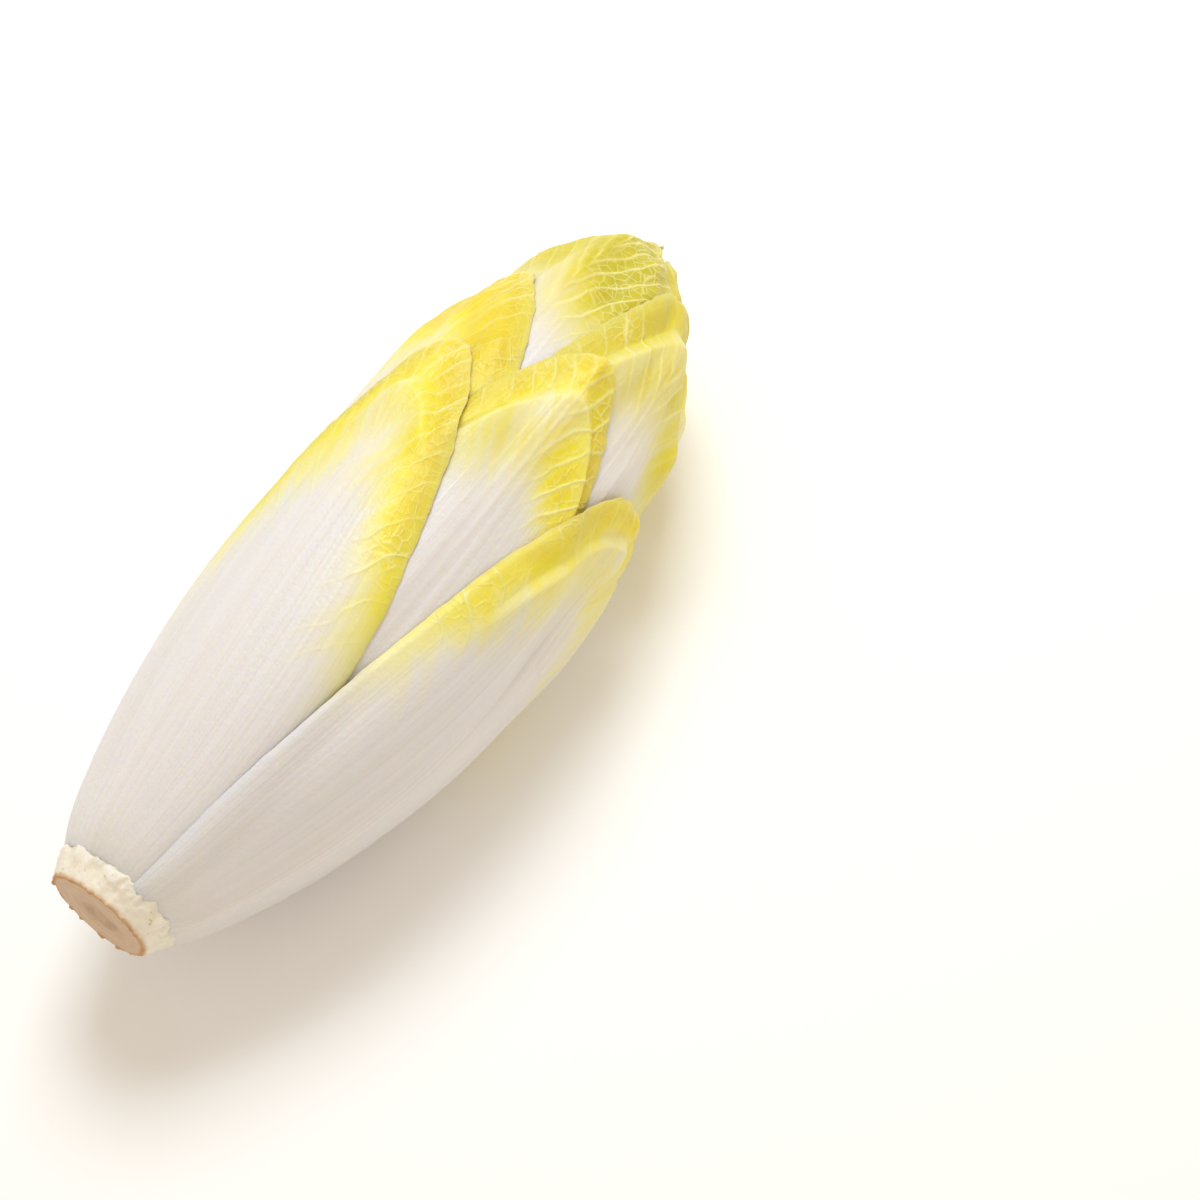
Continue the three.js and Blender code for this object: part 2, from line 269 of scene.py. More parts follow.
class Head:
    """The outline, the leaves and the stack that they make."""

    SHOULDER_POWER, TAPER_POWER, TIP_POWER = 2.3, 2.2, 0.66
    BOW_CROSSING = 0.66
    AXIS_HEIGHT, AXIS_SIDE = 26.0, 1.1
    TIP_BEND, TIP_BEND_FROM = 2.4, 0.8
    REST_PRESS, REST_SPREAD = 2.0, 45
    FIRST_BASE, BASE_STEP, BASE_SPREAD = 4.2, 0.8, 1.36
    TAPER_START = 16
    HEEL_LIMIT, HEEL_FADE = 26, 24
    FOOT_RAMP = 3.5
    RAMP_GROWTH = 0.8  # how much more slowly a leaf thickens for each mm that it starts higher
    SHOULDER_WIDTH = 2.4
    RIB_SHARE = 0.24
    DRAPE_ROWS, DRAPE_COLUMNS = 1, 2
    FOOT_ROWS = 8  # how widely a leaf evens out the feet of the leaves under it
    FOOT_EVENED = (60, 85)  # it does so in full up to the first distance, and not past the second
    EVEN_ROWS, EVEN_COLUMNS = 9, 21
    INNER_TIP, INNER_STEP = 155.5, 0.7
    STRAND_LEAST, STRAND_MORE = 1.3, 5.2

    def __init__(self, settings):
        self.settings = settings
        self.leaves = self.all_leaves()
        self.evened = self.stack_leaves()

    def outline(self, s):
        settings = self.settings
        x = np.clip(s / HEAD_LENGTH, 0, 1)
        swell = 1 - np.clip(1 - x / settings.belly_at, 0, 1) ** self.SHOULDER_POWER
        low = settings.neck_radius + (settings.belly_radius - settings.neck_radius) * swell
        past = np.clip((x - settings.belly_at) / (1 - settings.belly_at), 0, 1)
        high = settings.belly_radius * (1 - past**self.TAPER_POWER) ** self.TIP_POWER
        return np.where(x < settings.belly_at, low, high)

    def heart_radius(self, s, azimuth):
        from_bottom = np.minimum(np.abs(from_rib(azimuth, 180)), self.REST_SPREAD)
        press = self.REST_PRESS / 2 * (1 + np.cos(np.pi * from_bottom / self.REST_SPREAD))
        radius = self.outline(s) - press - self.evened.sample(s, azimuth)
        return np.maximum(radius, LEAST_RADIUS)

    def place(self, s, azimuth, radius):
        """Points in metres, pressed flat where they would reach under the floor."""
        angle = np.radians(azimuth)
        bow = self.settings.bow * np.sin(np.pi * s / (self.BOW_CROSSING * HEAD_LENGTH))
        x = FOOT_X + s
        lean = self.TIP_BEND * smooth(self.TIP_BEND_FROM, 1, s / HEAD_LENGTH)
        y = self.AXIS_SIDE - bow + lean - radius * np.sin(angle)
        z = np.maximum(self.AXIS_HEIGHT + radius * np.cos(angle), 0)
        return np.stack([x + 0 * z, y, z], axis=-1) * MM

    def all_leaves(self):
        leaves = list(OUTER_LEAVES)
        for i in range(INNER_LEAVES):
            azimuth = OUTER_LEAVES[-1].azimuth + GOLDEN_ANGLE * (i + 1)
            node = f"inner_leaf_{i + 1:02d}"
            tip = self.INNER_TIP - self.INNER_STEP * i
            leaf = Leaf(node, azimuth, tip, 72, 3.5, 3.0, crest=0, rim=18, rim_from=95, flush=0.5)
            leaf.detail = 0.35
            leaves.append(leaf)
        for i, leaf in enumerate(leaves):
            leaf.seed = FIRST_SEED + SEED_STEP * i
            leaf.base = leaf.base or self.FIRST_BASE + self.BASE_STEP * i**self.BASE_SPREAD
            leaf.heel = self.settings.heel_thickness * max(1 - leaf.base / self.HEEL_LIMIT, 0)
        return leaves

    def rib_azimuth(self, leaf, s):
        """Where a leaf has a twist, its end turns to the side."""
        return leaf.azimuth + leaf.twist * smooth(leaf.base + self.TAPER_START, leaf.tip, s)

    def half_width(self, leaf, s):
        start = leaf.base + self.TAPER_START
        t = np.clip((s - start) / (leaf.tip - start), 0, 1)
        return leaf.span * (1 - t**leaf.point) ** (1 / leaf.blunt)

    def line_end(self, leaf, share):
        start = leaf.base + self.TAPER_START
        t = (1 - (np.abs(share) * CORNER_SHARE) ** leaf.blunt) ** (1 / leaf.point)
        return start + (leaf.tip - start) * t

    def from_margin(self, leaf, s, angle):
        """Distance in from the leaf's margin."""
        width = self.half_width(leaf, s)
        slope = (self.half_width(leaf, s + 0.5) - self.half_width(leaf, s - 0.5)) * np.radians(1)
        inside = np.maximum(width - np.abs(angle), 0) * np.radians(1)
        return inside / np.hypot(slope, 1 / np.maximum(self.outline(s), 1))

    def thickness(self, leaf, s, angle):
        settings = self.settings
        width = self.half_width(leaf, s)
        margin = self.from_margin(leaf, s, angle)
        foot = np.maximum(s - leaf.base, 0)
        ramp = self.FOOT_RAMP + self.RAMP_GROWTH * (leaf.base - self.FIRST_BASE)
        rise = (1 - np.exp(-margin / self.SHOULDER_WIDTH)) * (1 - np.exp(-foot / ramp))
        share = np.minimum(np.abs(angle) / np.maximum(width, 1), 1)
        rib = settings.rib_thickness * np.exp(-((share / self.RIB_SHARE) ** 2))
        heel = leaf.heel * np.exp(-foot / self.HEEL_FADE)
        added = settings.blade_thickness - settings.margin_thickness + rib + heel
        return settings.margin_thickness + added * rise

    def strand_width(self, leaf, s):
        """Half-width of the bundle of strands along the rib, in mm: it closes towards the tip."""
        left = np.clip((leaf.tip - s) / (leaf.tip - leaf.base), 0, 1)
        return self.STRAND_LEAST + self.STRAND_MORE * left

    def raised(self, leaf, s, angle):
        """How far a leaf stands off what is under it: at its tip, and along the fold in its margin."""
        start = leaf.tip + (leaf.base - leaf.tip) * LIFT_SHARE
        tip = leaf.lift * np.clip((s - start) / (leaf.tip - start), 0, 1) ** 2
        past, strength = self.past_fold(leaf, s, angle)
        fold = smooth(-FOLD_STEP, 0, past) * np.exp(-((np.maximum(past, 0) / FOLD_SLOPE) ** 2))
        return tip + strength * fold

    def past_fold(self, leaf, s, angle):
        """Distance in from the crest of the fold inside the margin, and how high the fold is there."""
        margin = self.from_margin(leaf, s, np.hypot(angle, FOLD_ROUND))
        inset = leaf.inset * (1 - FOLD_SKEW * smooth(-FOLD_TURN, FOLD_TURN, angle))
        strength = leaf.crest * smooth(leaf.tip - leaf.fold, leaf.tip - leaf.fold / 2, s)
        return margin - inset, strength

    def stack_leaves(self):
        stack = Stack()
        s = (np.arange(GRID_ROWS) * ROW_STEP)[:, None]
        azimuth = (np.arange(GRID_COLUMNS) * COLUMN_STEP)[None, :]
        for leaf in reversed(self.leaves):
            draped = stack.highest(self.DRAPE_ROWS, self.DRAPE_COLUMNS)
            draped = draped.blurred(self.DRAPE_ROWS, self.DRAPE_COLUMNS)
            even = draped.blurred(self.FOOT_ROWS, self.DRAPE_COLUMNS).blurred(self.FOOT_ROWS, 0)
            low = 1 - smooth(*self.FOOT_EVENED, s)
            draped.heights = draped.heights * (1 - low) + even.heights * low
            draped.heights = draped.heights + self.settings.gap
            leaf.underside = draped
            angle = from_rib(azimuth, self.rib_azimuth(leaf, s))
            inside = (s > leaf.base - ROW_STEP) & (s < leaf.tip + ROW_STEP)
            inside = inside & (np.abs(angle) <= self.half_width(leaf, s) + COLUMN_STEP)
            outside = draped.heights + self.raised(leaf, s, angle) + self.thickness(leaf, s, angle)
            stack = Stack(np.where(inside, outside, stack.heights))
        for _ in range(2):
            stack = stack.blurred(self.EVEN_ROWS, self.EVEN_COLUMNS)
        return stack


def from_rib(azimuth, rib):
    """Angle from a leaf's rib, between -180 and 180 degrees."""
    return (np.asarray(azimuth) - rib + 180) % 360 - 180


# Meshes


# Side veins leave the rib at a slant and bend out towards the margin. In metres.
SWEEP_START, SWEEP = 0.011, 0.036

# A leaf's margin, in millimetres.
WAVER_WIDTH = 2.5  # how far in from the margin its wavering reaches
WAVER_ACROSS = 0.004  # as a share of the leaf's width
WAVER_ALONG = 0.3
RUFFLE = 0.12
MARGIN_PRESS_WIDTH = 1.5
FOOT_PRESS_LENGTH = 15
STRANDS_FROM = (30, 70)  # above a leaf's foot, its strands rise out of the blade over this stretch
STRANDS_TO = (3, 14)  # below its tip, they sink into it again

# The yellow of a leaf. Lengths are in millimetres and angles in degrees.
RIM_FALL = 1.7  # how sharply the yellow ends, in from the margin
RIM_FROM = (-14, 30)  # where the rim starts and is full, from where a leaf says that it starts
RIM_BASE, RIM_MORE = 0.72, 0.2  # its strength there, and what is added up to the tip
RIM_TURNED = 0.16  # how much stronger it is on the -Y side
FLUSH_FROM, FLUSH_TO = 44, 4  # below the tip, the flush of a leaf's end starts and is full
STREAK, BLOTCH = 0.10, 0.14  # how much the yellow varies in streaks along the veins and in blotches


def shell_mesh(name, outer, inner):
    """A closed shell of two grids of points. The inner one has every second row and column."""
    rows, columns = outer.shape[:2]
    fine = np.arange(rows * columns).reshape(rows, columns)
    coarse = rows * columns + np.arange(inner.shape[0] * inner.shape[1]).reshape(inner.shape[:2])
    outside = grid_faces(fine)
    inside = grid_faces(coarse)[:, ::-1]
    edge, inner_edge = border(fine), border(coarse)
    rim = [np.roll(edge, -2)[::2], edge[1::2], edge[::2], inner_edge, np.roll(inner_edge, -1)]
    points = np.concatenate([outer.reshape(-1, 3), inner.reshape(-1, 3)])
    return faceted_mesh(name, points, [outside, inside, np.stack(rim, axis=-1)])


def grid_faces(index):
    corners = [index[:-1, :-1], index[:-1, 1:], index[1:, 1:], index[1:, :-1]]
    return np.stack(corners, axis=-1).reshape(-1, 4)


def border(index):
    """The border of a grid, once round."""
    return np.concatenate([index[0, :-1], index[:-1, -1], index[-1, :0:-1], index[:0:-1, 0]])


def faceted_mesh(name, points, groups):
    """A mesh from groups of faces. The faces of one group have the same number of corners."""
    mesh = bpy.data.meshes.new(name)
    mesh.vertices.add(len(points))
    mesh.vertices.foreach_set("co", points.ravel())
    corners = np.concatenate([faces.ravel() for faces in groups])
    sizes = np.concatenate([np.full(len(faces), faces.shape[1]) for faces in groups])
    mesh.loops.add(len(corners))
    mesh.loops.foreach_set("vertex_index", corners)
    mesh.polygons.add(len(sizes))
    mesh.polygons.foreach_set("loop_start", np.cumsum(sizes) - sizes)
    mesh.polygons.foreach_set("use_smooth", np.ones(len(sizes), dtype=bool))
    mesh.update(calc_edges=True)
    mesh.validate()
    return mesh


def store(mesh, name, values):
    attribute = mesh.attributes.new(name, "FLOAT", "POINT")
    attribute.data.foreach_set("value", np.asarray(values, dtype=np.float32).ravel())


def leaf_mesh(head, leaf):
    """The leaf's blade as a closed shell, with what its relief and its colour are worked out from."""
    up = np.linspace(0, 1, 2 * int(LEAF_ROWS / 2 * leaf.detail) + 1)[:, None]
    up = up + TIP_CROWDING * up * (1 - up)
    share = np.linspace(-1, 1, 2 * int(LEAF_COLUMNS / 2 * leaf.detail) + 1)[None, :]
    share = share + MARGIN_CROWDING * np.sin(np.pi * share)
    s = leaf.base + (head.line_end(leaf, share) - leaf.base) * up
    side = leaf.base + (head.line_end(leaf, 1) - leaf.base) * up
    angle = share * head.half_width(leaf, side)
    margin = head.from_margin(leaf, s, angle)

    # The margin isn't cut clean: it wavers a little in and out, and up and down.
    near = np.exp(-margin / WAVER_WIDTH)
    waver = ripple(s / 16, angle / 26, leaf.seed) + 0.6 * ripple(s / 4, angle / 7, leaf.seed + 1)
    angle = angle * (1 + WAVER_ACROSS * waver * near)
    s = s + WAVER_ALONG * waver * near * smooth(0.6, 1, up)
    ruffle = 1 + ripple(s / 7, angle / 12, leaf.seed + 2)
    ruffle = RUFFLE * near * ruffle * smooth(0.6, 0.85, up)
    pressed = MARGIN_PRESS + FOOT_PRESS * np.exp(-(s - leaf.base) / FOOT_PRESS_LENGTH)
    pressed = pressed * head.settings.gap * np.exp(-margin / MARGIN_PRESS_WIDTH)

    azimuth = head.rib_azimuth(leaf, s) + angle
    under = leaf.underside.sample(s, azimuth) - pressed
    inner = head.heart_radius(s, azimuth) + under + head.raised(leaf, s, angle) + ruffle
    outer = inner + head.thickness(leaf, s, angle)
    inner_points = head.place(s, azimuth, inner)[::2, ::2]
    mesh = shell_mesh(leaf.node + "_blade", head.place(s, azimuth, outer), inner_points)

    across = np.radians(angle) * outer
    foot = s - leaf.base
    # Yellower in the valley inside the fold, partly the leaf's own colour and partly painted shade, and paler
    # along the fold's crest, which is a painted highlight.
    past, strength = head.past_fold(leaf, s, angle)
    valley = np.exp(-(((past - VALLEY) / VALLEY_WIDTH) ** 2))
    valley = valley - CREST_HIGHLIGHT * np.exp(-((past / CREST_HIGHLIGHT_WIDTH) ** 2))
    yellow = yellow_share(leaf, s, angle, across, margin)
    yellow = yellow * (1 + VALLEY_YELLOW_AND_SHADE * strength * valley)
    yellow = yellow + VALLEY_BASE * strength * np.maximum(valley, 0)
    values = {
        "across": across * MM,
        "along": (foot + LEAF_OFFSET * leaf.seed) * MM,
        "foot": foot * MM,
        "share": share + 0 * s,
        "margin": margin * MM,
        "strand": across / head.strand_width(leaf, s),
        "strands": smooth(*STRANDS_FROM, foot) * smooth(*STRANDS_TO, leaf.tip - s),
        "yellow": np.clip(yellow, 0, 1),
        "green": leaf.green + 0 * s,
    }
    for name, value in values.items():
        store_twice(mesh, name, value)
    store_twice(mesh, "outside", np.ones(s.shape), np.full(s.shape, UNDERSIDE_RELIEF))
    return mesh


def store_twice(mesh, name, outer, inner=None):
    """Stores a value for the outer grid of a shell's points, and for the coarser inner one."""
    inner = outer if inner is None else inner
    store(mesh, name, np.concatenate([outer.ravel(), inner[::2, ::2].ravel()]))


def yellow_share(leaf, s, angle, across, margin):
    """How yellow a leaf is: most just inside its margin and over its end, fading in slanted streaks."""
    upward = smooth(leaf.rim_from, leaf.tip - 8, s)
    swept = s - SWEEP / MM * np.log1p(np.abs(across) / (SWEEP_START / MM))
    streak = 1 + STREAK * ripple(swept / 6, across / 80, leaf.seed + 3)
    blotch = 1 + BLOTCH * ripple(s / 24, across / 18, leaf.seed + 4)
    reach = leaf.rim * (0.5 + 0.5 * upward) * streak * blotch
    start, full = RIM_FROM
    rim = np.exp(-((margin / reach) ** 2) * RIM_FALL)
    rim = rim * smooth(leaf.rim_from + start, leaf.rim_from + full, s) * (RIM_BASE + RIM_MORE * upward)
    rim = rim * (1 + RIM_TURNED * smooth(0, 25, angle))
    rim = rim * (1 - leaf.bare * smooth(4, 30, angle))
    side = 1 - leaf.lean * (1 - smooth(-25, 25, angle))
    flush = leaf.flush * side * smooth(leaf.tip - FLUSH_FROM, leaf.tip - FLUSH_TO, s) * blotch * streak
    return np.clip(1 - (1 - rim) * (1 - np.clip(flush, 0, 1)), 0, 1)


# Node trees


class Tree:
    """A short way to add and join nodes."""

    def __init__(self, tree):
        self.tree = tree

    def add(self, kind, inputs=None, **settings):
        node = self.tree.nodes.new(kind)
        for name, value in settings.items():
            setattr(node, name, value)
        return self.fill(node, inputs or {})

    def fill(self, node, inputs):
        for key, value in inputs.items():
            self.feed(node.inputs[key], value)
        return node

    def feed(self, socket, value):
        if isinstance(value, bpy.types.NodeSocket):
            self.tree.links.new(value, socket)
        elif isinstance(value, bpy.types.Node):
            self.tree.links.new(value.outputs[0], socket)
        else:
            socket.default_value = value

    def math(self, operation, a, b=None, clamp=False):
        inputs = {0: a} if b is None else {0: a, 1: b}
        return self.add("ShaderNodeMath", inputs, operation=operation, use_clamp=clamp)

    def plus(self, a, b, clamp=False):
        return self.math("ADD", a, b, clamp)

    def minus(self, a, b, clamp=False):
        return self.math("SUBTRACT", a, b, clamp)

    def times(self, a, b, clamp=False):
        return self.math("MULTIPLY", a, b, clamp)

    def over(self, a, b):
        return self.math("DIVIDE", a, b)

    def above(self, value, level, gain):
        """0 where the value is under a level, and rising with the gain to 1."""
        return self.times(self.minus(value, level), gain, clamp=True)

    def noise(self, place, scale, detail):
        return self.add("ShaderNodeTexNoise", {"Vector": place, "Scale": scale, "Detail": detail})

    def mix(self, factor, a, b):
        """The colour a where the factor is 0, and b where it is 1."""
        node = self.add("ShaderNodeMix", data_type="RGBA")
        self.feed(node.inputs["Factor"], factor)
        for key, value in (("A", a), ("B", b)):
            socket = [i for i in node.inputs if i.name == key and i.type == "RGBA"][0]
            self.feed(socket, (*value, 1.0) if isinstance(value, tuple) else value)
        return [o for o in node.outputs if o.type == "RGBA"][0]

    def vector(self, x, y, z=0.0):
        return self.add("ShaderNodeCombineXYZ", {0: x, 1: y, 2: z})

    def named(self, name):
        return self.add("GeometryNodeInputNamedAttribute", {"Name": name}, data_type="FLOAT")

    def attributes(self, *names):
        nodes = [self.add("ShaderNodeAttribute", attribute_name=name) for name in names]
        return [node.outputs["Fac"] for node in nodes]

    def bell(self, distance, width):
        """1 where distance is 0, falling to nothing over a few widths."""
        ratio = self.over(distance, width)
        return self.math("EXPONENT", self.times(self.times(ratio, ratio), -1.0))


STRAND_PITCH = 0.72  # of the strands in a midrib, as a share of their bundle's half-width

RELIEF_INPUTS = (
    "Vein height", "Vein spacing", "Net height", "Net cell", "Rib height", "Rib count",
    "Midrib height", "Swell height",
)


def new_geometry_tree(name, inputs):
    """An empty tree that takes a mesh, numbers and a material, and a Tree to fill it with."""
    group = bpy.data.node_groups.new(name, "GeometryNodeTree")
    group.interface.new_socket("Geometry", in_out="INPUT", socket_type="NodeSocketGeometry")
    for title in (*inputs, "Seed"):
        group.interface.new_socket(title, in_out="INPUT", socket_type="NodeSocketFloat")
    group.interface.new_socket("Material", in_out="INPUT", socket_type="NodeSocketMaterial")
    group.interface.new_socket("Geometry", in_out="OUTPUT", socket_type="NodeSocketGeometry")
    tree = Tree(group)
    return tree, tree.add("NodeGroupInput").outputs


def raise_and_finish(t, given, height):
    """Ends a tree: moves the mesh out along its normals and gives it its material."""
    normal = t.add("GeometryNodeInputNormal")
    offset = t.add("ShaderNodeVectorMath", {0: normal, "Scale": height}, operation="SCALE")
    raised = t.add("GeometryNodeSetPosition", {"Geometry": given["Geometry"], "Offset": offset})
    real = t.add("GeometryNodeRealizeInstances", {"Geometry": raised})
    finished = t.add("GeometryNodeSetMaterial", {"Geometry": real, "Material": given["Material"]})
    t.add("NodeGroupOutput", {"Geometry": finished})


# The veins, in metres. Scales of noise are in waves per metre.
WARP_SCALE, WARP = 80.0, 0.012  # of the wander of the side veins
STAGGER = 0.0017  # between the veins of a leaf's two sides
VEIN_WIDTH, VEIN_FLARE = 0.00010, 0.0000028  # a side vein is wider near the rib
PATCH_SCALE = 55.0  # of the patches in which veins show
PATCH_FROM, PATCH_GAIN = 0.36, 3.4
NET_STRETCH = 0.004  # how far the net is drawn out of line along a leaf
NET_WARP = 0.6  # how much of the wander of the side veins it follows
NET_LINE = 0.045  # half-width of its lines, as a share of a mesh


def vein_pattern(t, across, along, yellow, spacing, cell, seed):
    """How strongly a side vein, and the net between the side veins, runs through each point."""
    away = t.math("ABSOLUTE", across)
    past = t.plus(away, SWEEP_START)
    bend = t.math("LOGARITHM", t.over(past, SWEEP_START), math.e)
    swept = t.minus(along, t.times(bend, SWEEP))
    place = t.vector(across, along, seed)
    shift = t.times(t.minus(t.noise(place, WARP_SCALE, 2.0), 0.5), WARP)
    swept = t.plus(t.plus(swept, shift), t.times(t.math("SIGN", across), STAGGER))
    slope = t.over(SWEEP, past)
    slope = t.math("SQRT", t.plus(t.times(slope, slope), 1.0))
    to_vein = t.over(t.math("PINGPONG", swept, t.times(spacing, 0.5)), slope)
    side = t.bell(to_vein, t.plus(t.over(VEIN_FLARE, past), VEIN_WIDTH))
    patches = t.noise(place, PATCH_SCALE, 1.0)
    patchy = t.above(patches, PATCH_FROM, PATCH_GAIN)
    shown = t.plus(t.times(yellow, 1.8), 0.10, clamp=True)
    side = t.times(t.times(side, patchy), shown)

    scale = t.over(1.0, cell)
    drawn = t.plus(along, t.times(t.minus(patches, 0.5), NET_STRETCH))
    net_across = t.times(t.plus(across, t.times(shift, NET_WARP)), scale)
    net_place = t.vector(net_across, t.times(drawn, scale), seed)
    net = t.add("ShaderNodeTexVoronoi", {"Vector": net_place, "Scale": 1.0}, feature="DISTANCE_TO_EDGE")
    net = t.times(t.bell(net.outputs["Distance"], NET_LINE), patchy)
    return side, t.times(net, t.above(yellow, 0.2, 1.3))


# The relief of a leaf. Waves are per metre along it, and from its rib to its margin.
RIB_WAVES = 9.0
SWELL_WAVES, SWELL_ACROSS = 14.0, 2.6
SWELL_START = 25.0  # per metre above the leaf's foot, how fast the broad waves set in
STRAND_BUNDLE = 1.25  # how far out the strands fade, as a share of their bundle's half-width
PLAIN_MARGIN = 0.0009  # width of the margin without relief, in metres
GROUND_GAIN = 500.0  # per metre above the ground, how fast the relief sets in


def relief_tree():
    """Raises the strands of the midrib, the fine ribs, the side veins and the net on a leaf."""
    t, given = new_geometry_tree("Leaf relief", RELIEF_INPUTS)
    names = ("across", "along", "foot", "share", "yellow")
    across, along, foot, share, yellow = [t.named(name) for name in names]
    seed = given["Seed"]
    side, net = vein_pattern(t, across, along, yellow, given["Vein spacing"], given["Net cell"], seed)

    lines = t.vector(t.times(share, given["Rib count"]), t.times(along, RIB_WAVES), seed)
    ribs = t.times(t.minus(t.noise(lines, 1.0, 2.5), 0.5), t.minus(1.15, yellow))

    strand = t.named("strand")
    strands = t.math("COSINE", t.times(strand, 2 * math.pi / STRAND_PITCH))
    strands = t.times(t.plus(t.times(strands, 0.3), 0.7), t.bell(strand, STRAND_BUNDLE))
    strands = t.times(strands, t.named("strands"))

    broad = t.vector(t.times(share, SWELL_ACROSS), t.times(along, SWELL_WAVES), seed)
    swell = t.minus(t.noise(broad, 1.0, 0.5), 0.5)
    swell = t.times(swell, t.times(foot, SWELL_START, clamp=True))

    height = t.times(side, given["Vein height"])
    for part, name in ((net, "Net"), (ribs, "Rib"), (strands, "Midrib"), (swell, "Swell")):
        height = t.plus(height, t.times(part, given[name + " height"]))
    clear = t.minus(1.0, t.bell(t.named("margin"), PLAIN_MARGIN))
    height = t.times(height, t.times(clear, t.named("outside")))
    place = t.add("ShaderNodeSeparateXYZ", {0: t.add("GeometryNodeInputPosition")})
    above_ground = t.times(place.outputs[2], GROUND_GAIN, clamp=True)
    raise_and_finish(t, given, t.times(height, above_ground))
    return t.tree


STEM_RELIEF = {"Chip height": 0.0013, "Chip size": 0.0019, "Nib height": 0.0004, "Nib size": 0.0009}
FIBRE_STRETCH = (0.6, 1.0, 1.0)  # the torn fibres are longer along the head


def stem_tree():
    """Roughens the torn collar of the stem and raises nibs along its rind."""
    t, given = new_geometry_tree("Stem relief", STEM_RELIEF)
    position = t.add("GeometryNodeInputPosition")
    fibres = t.add("ShaderNodeVectorMath", {0: position, 1: FIBRE_STRETCH}, operation="MULTIPLY")
    chip_scale = t.over(1.0, given["Chip size"])
    chips = t.add("ShaderNodeTexVoronoi", {"Vector": fibres, "Scale": chip_scale}, feature="SMOOTH_F1")
    grain = t.noise(fibres, chip_scale, 5.0)
    chips = t.plus(t.times(chips.outputs["Distance"], -0.8), grain)
    height = t.times(t.times(chips, t.named("chip")), given["Chip height"])
    nib_scale = t.over(1.0, given["Nib size"])
    nibs = t.above(t.noise(position, nib_scale, 1.0), 0.5, 5.0)
    nibs = t.times(t.times(nibs, t.named("rind")), given["Nib height"])
    raise_and_finish(t, given, t.plus(height, nibs))
    return t.tree


def relieved(mesh, tree, values):
    """A plain mesh object: the given mesh with a relief tree applied."""
    rough = bpy.data.objects.new(mesh.name + "_rough", mesh)
    bpy.context.collection.objects.link(rough)
    modifier = rough.modifiers.new("Relief", "NODES")
    modifier.node_group = tree
    for item in tree.interface.items_tree:
        if item.in_out == "INPUT" and item.name in values:
            modifier[item.identifier] = values[item.name]
    made = bpy.data.meshes.new_from_object(rough.evaluated_get(bpy.context.evaluated_depsgraph_get()))
    name = mesh.name
    bpy.data.objects.remove(rough)
    bpy.data.meshes.remove(mesh)
    made.name = name
    return add_object(name, made)


def add_object(name, mesh):
    piece = bpy.data.objects.new(name, mesh)
    bpy.context.collection.objects.link(piece)
    return piece


def join_frame(piece, nodes):
    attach(piece, "root")
    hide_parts(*nodes)


# Materials


def new_material(name):
    material = bpy.data.materials.get(name)
    if material:
        return material, None, None
    material = bpy.data.materials.new(name)
    material.use_nodes = True
    tree = Tree(material.node_tree)
    return material, tree, material.node_tree.nodes["Principled BSDF"]


def ramp(t, factor, stops):
    node = t.add("ShaderNodeValToRGB", {"Fac": factor})
    elements = node.color_ramp.elements
    while len(elements) < len(stops):
        elements.new(0.5)
    for element, (position, colour) in zip(elements, stops):
        element.position = position
        element.color = (*colour, 1.0)
    return node.outputs["Color"]


def shaded(colour, shares):
    return tuple(c * share for c, share in zip(colour, shares))


# Colours that the settings don't give, as linear RGB or as shares of one that they do.
CREAM = (0.91, 0.84, 0.42)
DEEP_YELLOW = (0.84, 0.76, 0.25)  # shares of the yellow
OLIVE, PALE_OLIVE = (0.42, 0.38, 0.01), (0.68, 0.61, 0.03)
BAND_YELLOW = (0.95, 0.86, 0.26)
WATERY_WHITE = (0.88, 0.83, 0.74)  # shares of the white
# The grey of the painted shade that is laid in wide patches over the white.
SHADE_GREY = (0.55, 0.46, 0.40)
FOOT_CREAM = (0.84, 0.76, 0.52)
SPECK_BROWN = (0.36, 0.20, 0.06)
DRY_EDGE = (0.80, 0.66, 0.22)
TISSUE, OLD_TISSUE = (0.96, 0.94, 0.88), (0.86, 0.76, 0.56)
DARK_RING = (0.78, 0.78, 0.78)  # shares of the cut face's colour
PITH_BROWN, PALE_TAN = (0.40, 0.25, 0.14), (0.80, 0.63, 0.46)
RIND_BROWN, STEM_SPECK = (0.56, 0.29, 0.09), (0.50, 0.27, 0.09)

# Where cream and yellow stand between a leaf's white, 0, and its deepest yellow, 1.
CREAM_AT, YELLOW_AT = 0.27, 0.66
BLOTCH_SCALE, BLOTCH_DEPTH = 260.0, 0.45
GREENEST = 0.85
BAND_WIDTH, BAND_LINES, BAND_WAVES = 0.0022, 2200.0, 60.0
SIDE_VEIN_TINT, NET_TINT = 0.75, 0.55
STREAK_COUNT, STREAK_WAVES = 48.0, 12.0  # of the watery streaks, across half a leaf and along it
SHADE_WAVES, SHADE_DEPTH = 9.0, 0.16
FOOT_LENGTH, FOOT_TINT = 0.006, 0.15
SPECK_SCALE, SPECK_SIZE, SPECK_CHANCE = 75.0, 0.028, 0.14
DRY_WIDTH = 0.0003
CELL_SCALE, SKIN_SCALE, SKIN_DEPTH = 1400.0, 900.0, 0.00025


